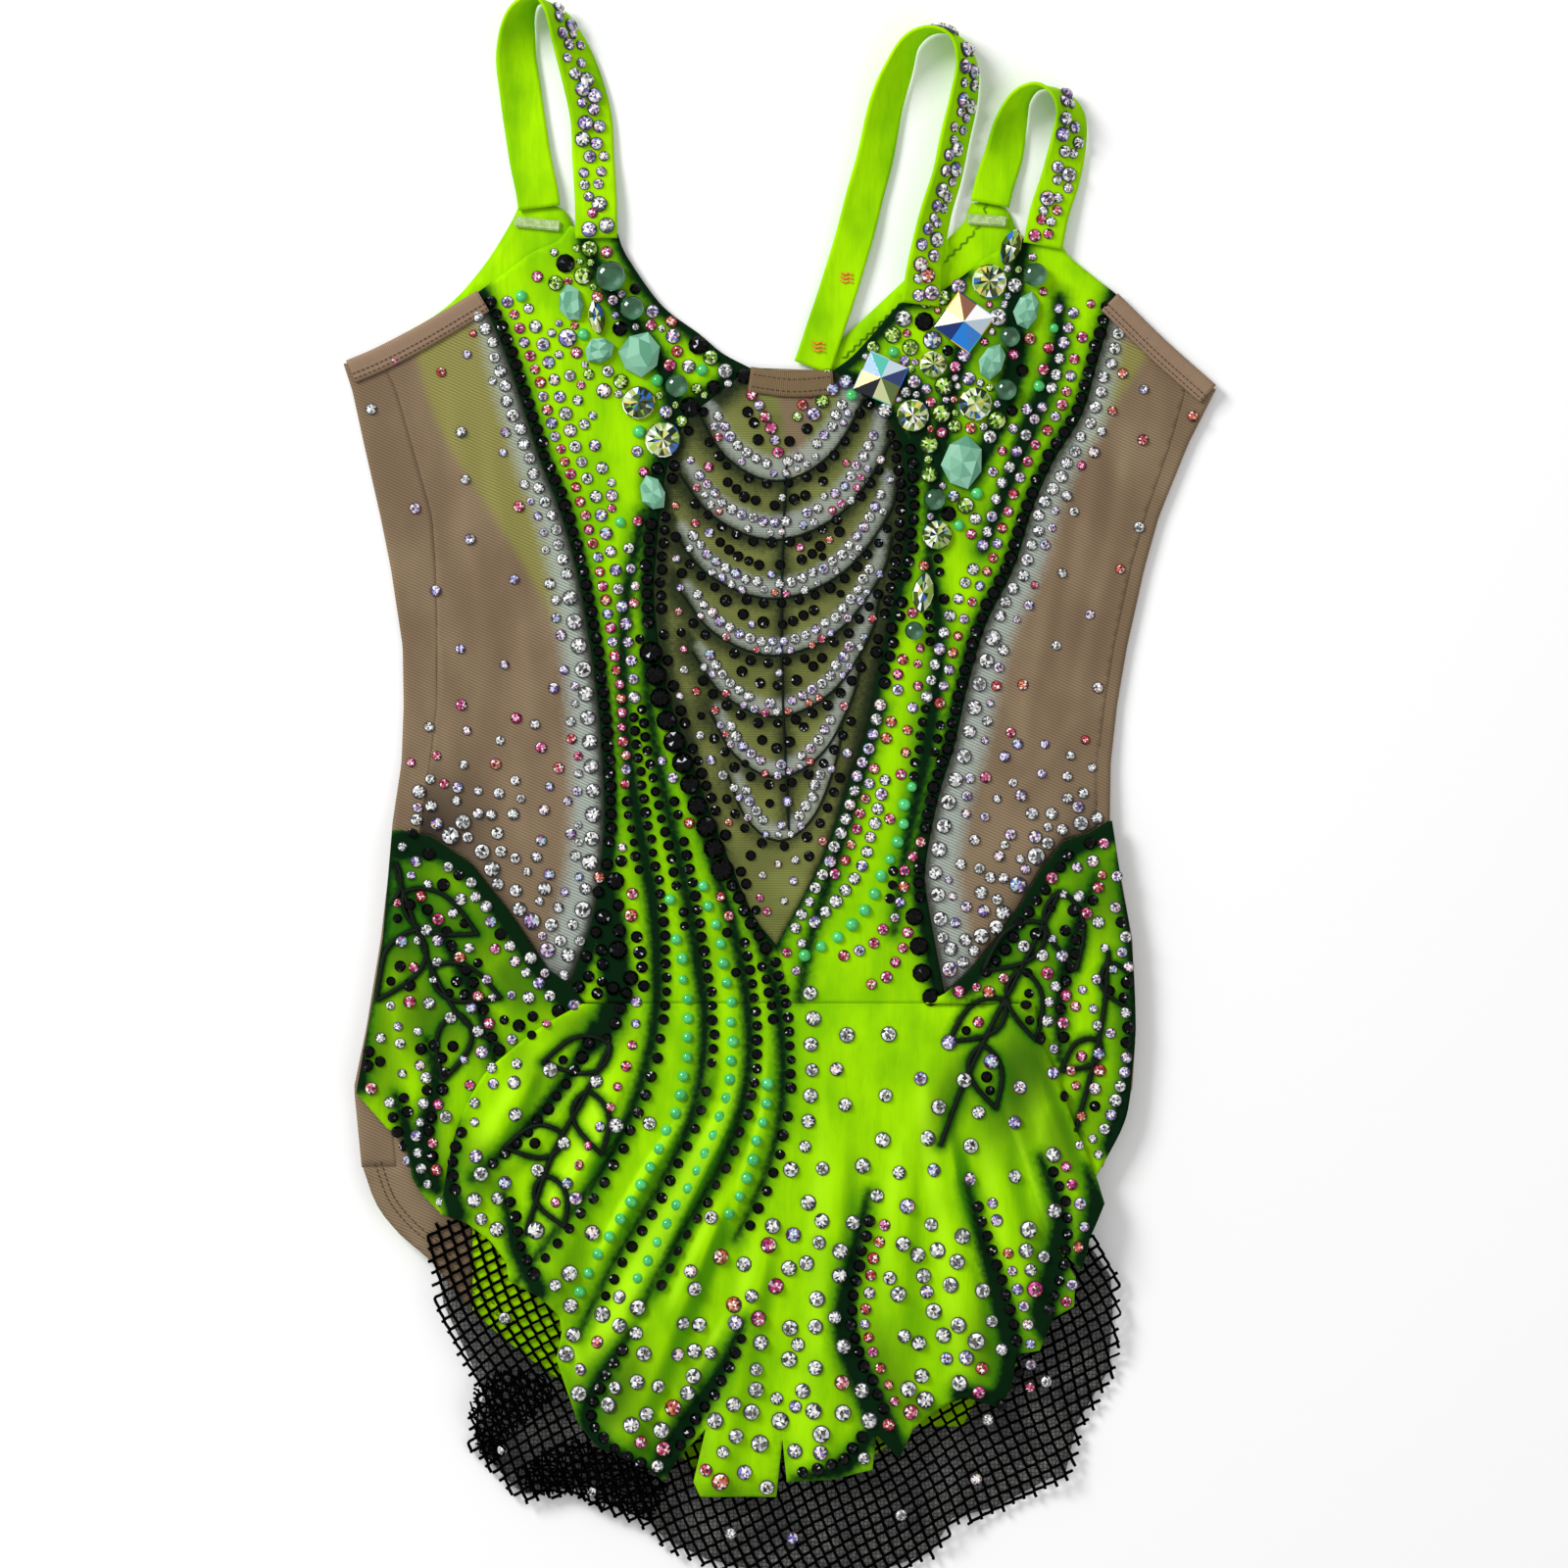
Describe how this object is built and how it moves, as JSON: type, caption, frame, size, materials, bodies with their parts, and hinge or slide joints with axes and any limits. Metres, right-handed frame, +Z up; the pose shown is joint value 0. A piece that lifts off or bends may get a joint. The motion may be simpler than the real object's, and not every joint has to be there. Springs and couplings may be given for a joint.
{
  "type": "leotard",
  "caption": "Rhythmic gymnastics leotard laid flat: velvet and mesh body with a jewelled front, shoulder strap loops and a torn petal skirt over a fishnet underskirt.",
  "frame": {"origin": "centre of the garment's outline on the surface that it lies on", "axes": "+X across the garment as it is seen from above, +Y towards the shoulders, +Z up from the surface"},
  "size_m": [0.3424, 0.6206, 0.0176],
  "materials": {
    "velvet": "neon stretch velvet, short sheared pile",
    "powernet": "fine nude stretch mesh, matt",
    "sheer": "sheer nude mesh over the green back",
    "elastic": "nude knitted elastic",
    "fishnet": "black knitted net",
    "tulle": "dark grey fine tulle",
    "crystal": "foiled cut crystal",
    "opal": "milky green cut glass",
    "bead": "smoky green glass bead"
  },
  "bodies": {
    "root": {"front_velvet_left": "velvet", "front_velvet_right": "velvet", "back_velvet": "velvet", "brief_front": "velvet", "hip_left": "velvet", "hip_right": "velvet", "skirt_front": "velvet", "skirt_back": "velvet", "strap_left": "velvet", "strap_centre": "velvet", "strap_right": "velvet", "front_mesh_left": "powernet", "front_mesh_right": "powernet", "side_left": "powernet", "side_right": "powernet", "brief_left": "powernet", "brief_right": "powernet", "front_inset": "sheer", "skirt_net": "fishnet", "skirt_tulle": "tulle", "arm_binding_left": "elastic", "arm_binding_right": "elastic", "neck_binding": "elastic", "strap_end_left": "elastic", "strap_end_right": "elastic", "square_stone_1": "crystal", "square_stone_2": "crystal", "rivoli_stone_1": "crystal", "rivoli_stone_2": "crystal", "rivoli_stone_3": "crystal", "rivoli_stone_4": "crystal", "rivoli_stone_5": "crystal", "rivoli_stone_6": "crystal", "rivoli_stone_7": "crystal", "navette_stone_1": "crystal", "navette_stone_2": "crystal", "navette_stone_3": "crystal", "shield_stone_1": "opal", "shield_stone_2": "opal", "shield_stone_3": "opal", "shield_stone_4": "opal", "shield_stone_5": "opal", "shield_stone_6": "opal", "shield_stone_7": "opal", "bead_stone_1": "bead", "bead_stone_2": "bead", "bead_stone_3": "bead", "bead_stone_4": "bead", "bead_stone_5": "bead", "bead_stone_6": "bead", "bead_stone_7": "bead", "bead_stone_8": "bead"}
  },
  "joints": []
}
